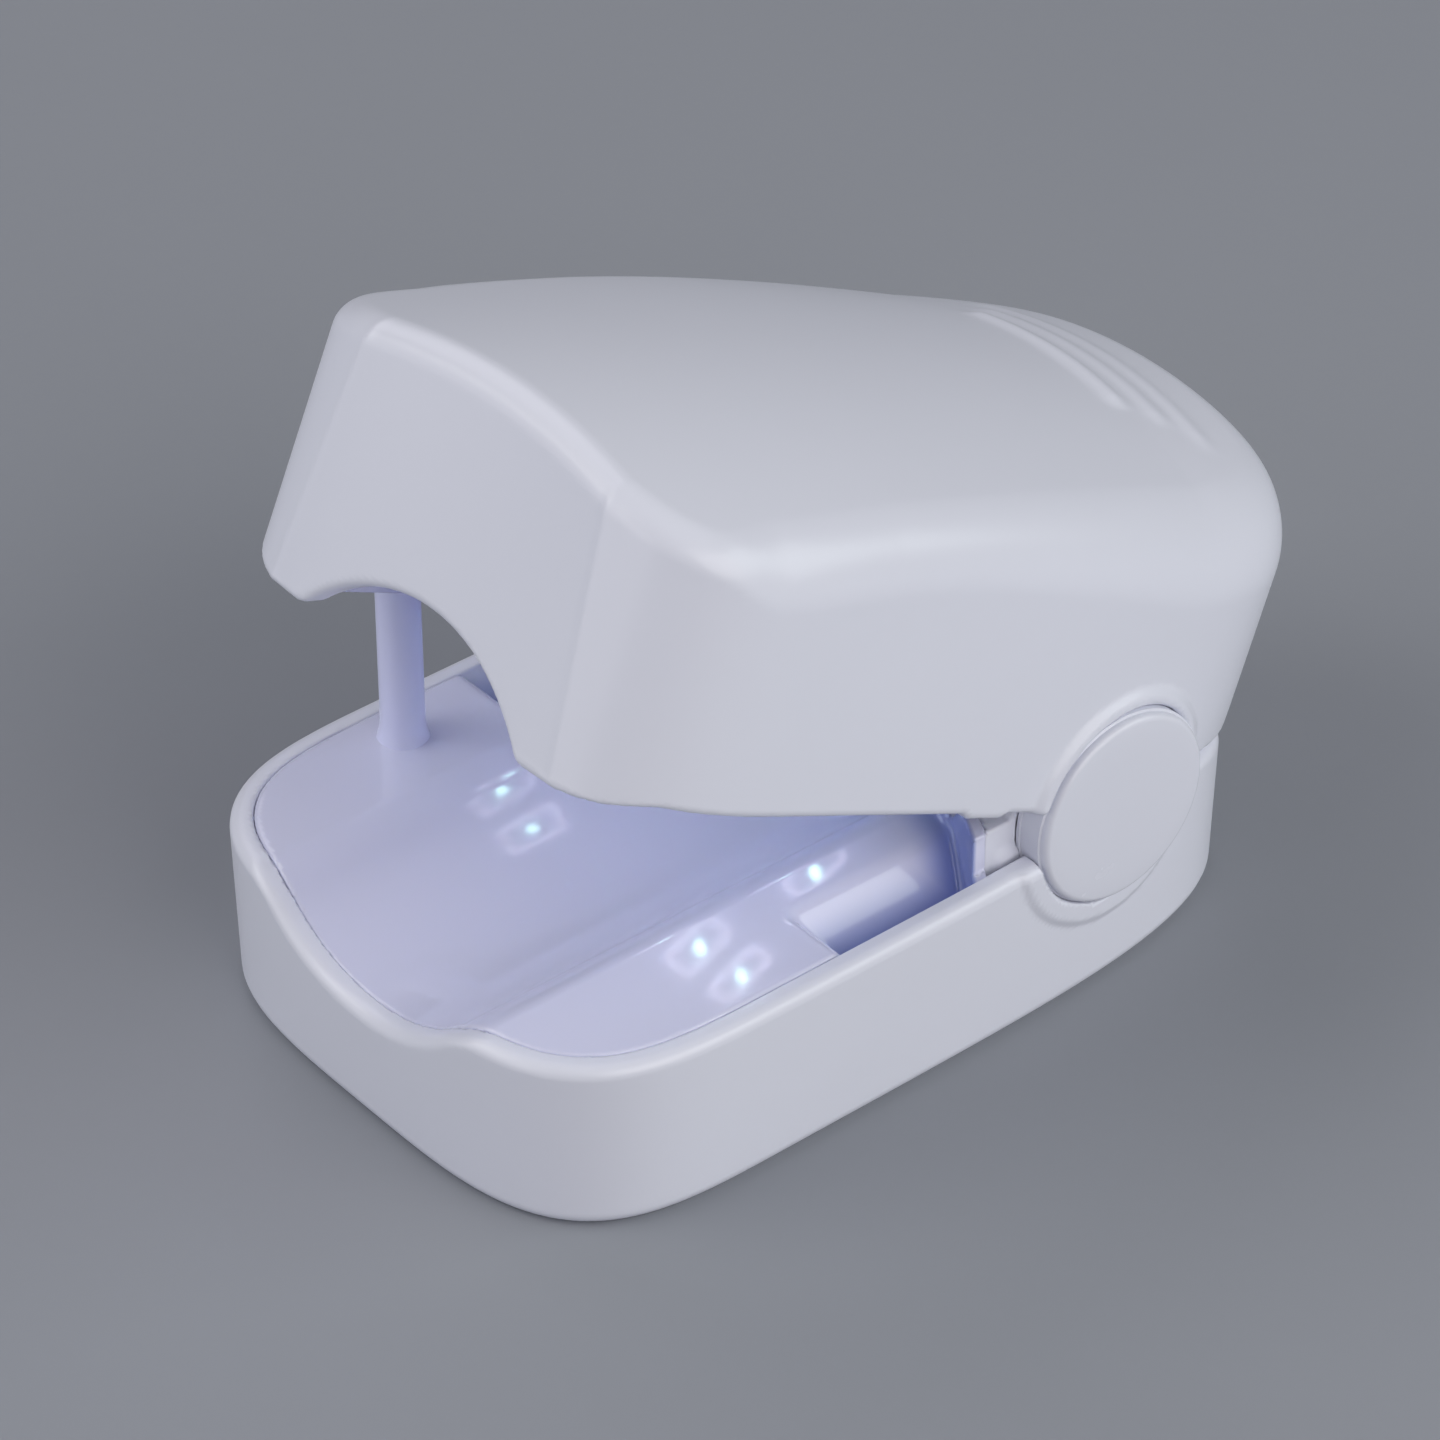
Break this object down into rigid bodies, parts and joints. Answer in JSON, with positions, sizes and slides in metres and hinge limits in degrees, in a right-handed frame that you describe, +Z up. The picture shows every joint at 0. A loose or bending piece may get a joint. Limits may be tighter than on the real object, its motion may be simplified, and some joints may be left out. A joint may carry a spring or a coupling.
{
  "type": "clip-on light sanitizer",
  "caption": "Palm-sized clamshell clip in white plastic: a hinged jaw holding small lamps swings over a gloss deck with a finger groove, with a guide post, charging socket and push button.",
  "frame": {"origin": "on the ground plane under the widest place of the base, midway between its sides", "axes": "+X to the object's right side, -Y out of the mouth, +Z up from the underside"},
  "size_m": [0.042, 0.0692, 0.0495],
  "materials": {
    "white_shell": "satin moulded, very fine texture",
    "gloss_white": "polished",
    "clear_window": "clear, polished",
    "steel": "bright zinc plated",
    "circuit_board": "green solder mask",
    "battery_foil": "satin foil",
    "lamp_package": "moulded lamp package",
    "black_plastic": "matt",
    "red_insulation": "satin",
    "grey_insulation": "satin"
  },
  "bodies": {
    "base": {"lower_housing": "white_shell", "finger_deck": "gloss_white", "guide_post": "white_shell", "hinge_pin": "steel", "hinge_cap_left": "white_shell", "hinge_cap_right": "white_shell", "wave_washer_left": "steel", "wave_washer_right": "steel", "deck_screw_1": "steel", "deck_screw_2": "steel", "deck_screw_3": "steel", "deck_screw_4": "steel", "battery_cell": "battery_foil", "charging_board": "circuit_board", "board_screw_1": "steel", "board_screw_2": "steel", "usb_socket": "steel", "socket_tongue": "black_plastic", "tact_switch": "black_plastic", "battery_lead_red": "red_insulation", "battery_lead_grey": "grey_insulation", "lamp_lead_base": "grey_insulation"},
    "jaw": {"upper_housing": "white_shell", "lamp_panel": "gloss_white", "lamp_board": "circuit_board", "lamp_1": "lamp_package", "lamp_2": "lamp_package", "lamp_3": "lamp_package", "lamp_4": "lamp_package", "lamp_5": "lamp_package", "lamp_window_1": "clear_window", "lamp_window_2": "clear_window", "lamp_window_3": "clear_window", "lamp_window_4": "clear_window", "lamp_window_5": "clear_window", "panel_screw_1": "steel", "panel_screw_2": "steel", "panel_screw_3": "steel", "panel_screw_4": "steel", "lamp_lead_jaw": "grey_insulation"},
    "button": {"power_button": "white_shell"}
  },
  "joints": [
    {"name": "jaw_hinge", "type": "hinge", "parent": "base", "child": "jaw", "pos_m": [0, 0.0275, 0.01414], "axis": [1, 0, 0], "range_deg": [0, 24.7]},
    {"name": "button_press", "type": "slide", "parent": "base", "child": "button", "axis": [0, -1, 0], "range_m": [0, 0.0006], "stiffness_N_per_m": 400}
  ]
}
